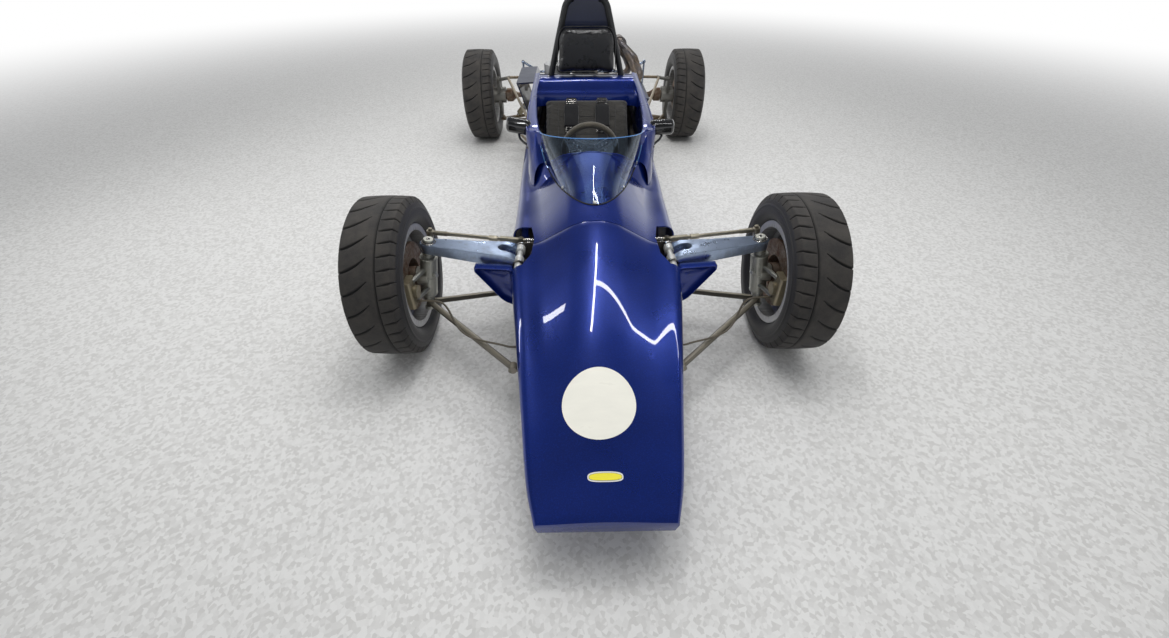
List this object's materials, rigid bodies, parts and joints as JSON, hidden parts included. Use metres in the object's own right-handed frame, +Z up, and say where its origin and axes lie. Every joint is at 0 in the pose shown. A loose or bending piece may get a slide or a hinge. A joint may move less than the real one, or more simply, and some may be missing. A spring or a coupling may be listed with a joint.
{
  "type": "open wheel racing car",
  "caption": "Single-seat open wheel racing car in metallic blue with a wrap-round screen, rocker arm front suspension, side exhaust headers and treaded tyres",
  "frame": {"origin": "centre of the footprint on the ground, between the tyre contact patches' height", "axes": "+X the car's left, +Y towards the tail, +Z up, nose towards -Y"},
  "size_m": [1.6336, 3.7, 0.988],
  "materials": {
    "body_paint": "deep metallic gloss blue",
    "dark_paint": "near-black blue gloss",
    "frame_paint": "satin black",
    "aluminium": "satin sheet and castings",
    "screen": "blue tinted clear acrylic",
    "black_plastic": "matt black",
    "seat_cloth": "dark grey woven cloth",
    "headrest_cover": "black padded cover",
    "wheel_suede": "grey suede-like rim",
    "bright_steel": "ground and polished",
    "plated_steel": "yellow zinc plating",
    "bronze_paint": "bronze brown",
    "grey_cast": "grey cast and machined",
    "spring_paint": "painted coil springs on steel dampers",
    "header_iron": "heat-stained grey brown",
    "black_gloss": "black gloss",
    "hose_rubber": "black rubber",
    "rim_paint": "silver paint",
    "tyre": "black treaded",
    "disc_iron": "turned iron with a brown bloom"
  },
  "bodies": {
    "chassis": {"nose_cone": "body_paint", "cockpit_body": "body_paint", "undertray": "aluminium", "windscreen": "screen", "rocker_fairings": "body_paint", "seat_back_panel": "body_paint", "firewall": "aluminium", "dash_panel": "black_plastic", "seat_pad": "seat_cloth", "headrest_pad": "headrest_cover", "roll_hoop": "frame_paint", "engine_cover": "dark_paint", "side_pods": "dark_paint", "radiators": "aluminium", "chassis_frame": "frame_paint", "frame_crossmembers": "frame_paint", "frame_brackets": "frame_paint", "rack_housing": "aluminium", "rocker_arms": "plated_steel", "rocker_pivots": "bright_steel", "front_wishbones": "bronze_paint", "rear_uprights": "grey_cast", "rear_links": "bronze_paint", "rear_dampers": "spring_paint", "antiroll_bar": "plated_steel", "engine_block": "grey_cast", "carburettor": "aluminium", "exhaust_headers": "header_iron", "gearbox": "aluminium", "mirrors": "black_gloss", "cockpit_controls": "bright_steel", "brake_hose_left": "hose_rubber", "brake_hose_right": "hose_rubber"},
    "steering_wheel_turning": {"steering_wheel": "wheel_suede"},
    "rack_bar": {"steering_rack": "bright_steel"},
    "tie_rod_link_left": {"tie_rod_left": "bright_steel"},
    "knuckle_left": {"front_upright_left": "grey_cast", "brake_caliper_left": "plated_steel"},
    "front_wheel_left": {"front_rim_left": "rim_paint", "front_tyre_left": "tyre", "front_disc_left": "disc_iron"},
    "rear_wheel_left": {"rear_rim_left": "rim_paint", "rear_tyre_left": "tyre", "driveshaft_left": "disc_iron"},
    "tie_rod_link_right": {"tie_rod_right": "bright_steel"},
    "knuckle_right": {"front_upright_right": "grey_cast", "brake_caliper_right": "plated_steel"},
    "front_wheel_right": {"front_rim_right": "rim_paint", "front_tyre_right": "tyre", "front_disc_right": "disc_iron"},
    "rear_wheel_right": {"rear_rim_right": "rim_paint", "rear_tyre_right": "tyre", "driveshaft_right": "disc_iron"}
  },
  "joints": [
    {"name": "steering_wheel_turn", "type": "hinge", "parent": "chassis", "child": "steering_wheel_turning", "pos_m": [0, -0.897, 0.396], "axis": [0, 0.9885, 0.1513], "range_deg": [-220, 220]},
    {"name": "rack_slide", "type": "slide", "parent": "chassis", "child": "rack_bar", "axis": [-1, 0, 0], "range_m": [-0.031, 0.031]},
    {"name": "tie_rod_swing_left", "type": "hinge", "parent": "rack_bar", "child": "tie_rod_link_left", "pos_m": [0.262, -0.897, 0.362], "axis": [0, 1, 0], "range_deg": [-1.2, 1.2]},
    {"name": "front_steer_left", "type": "hinge", "parent": "chassis", "child": "knuckle_left", "pos_m": [0.609, -0.985, 0.16], "axis": [-0.1825, 0, 0.9832], "range_deg": [-18.2, 18.2], "deforming": ["brake_hose_left"]},
    {"name": "tie_rod_swing_right", "type": "hinge", "parent": "rack_bar", "child": "tie_rod_link_right", "pos_m": [-0.262, -0.897, 0.362], "axis": [0, 1, 0], "range_deg": [-1.2, 1.2]},
    {"name": "front_steer_right", "type": "hinge", "parent": "chassis", "child": "knuckle_right", "pos_m": [-0.609, -0.985, 0.16], "axis": [0.1825, 0, 0.9832], "range_deg": [-18.2, 18.2], "deforming": ["brake_hose_right"]},
    {"name": "front_roll_left", "type": "hinge", "parent": "knuckle_left", "child": "front_wheel_left", "pos_m": [0.6975, -0.985, 0.276], "axis": [1, 0, 0], "continuous": true},
    {"name": "rear_roll_left", "type": "hinge", "parent": "chassis", "child": "rear_wheel_left", "pos_m": [0.715, 1.301, 0.288], "axis": [1, 0, 0], "continuous": true},
    {"name": "front_roll_right", "type": "hinge", "parent": "knuckle_right", "child": "front_wheel_right", "pos_m": [-0.6975, -0.985, 0.276], "axis": [1, 0, 0], "continuous": true},
    {"name": "rear_roll_right", "type": "hinge", "parent": "chassis", "child": "rear_wheel_right", "pos_m": [-0.715, 1.301, 0.288], "axis": [1, 0, 0], "continuous": true}
  ],
  "couplings": [
    {"joint": "rack_slide", "follows": "steering_wheel_turn", "m_per_rad": 0.00792},
    {"joint": "tie_rod_swing_left", "follows": "steering_wheel_turn", "ratio": 0.00455},
    {"joint": "front_steer_left", "follows": "steering_wheel_turn", "ratio": 0.08182},
    {"joint": "tie_rod_swing_right", "follows": "steering_wheel_turn", "ratio": 0.00455},
    {"joint": "front_steer_right", "follows": "steering_wheel_turn", "ratio": 0.08182}
  ]
}
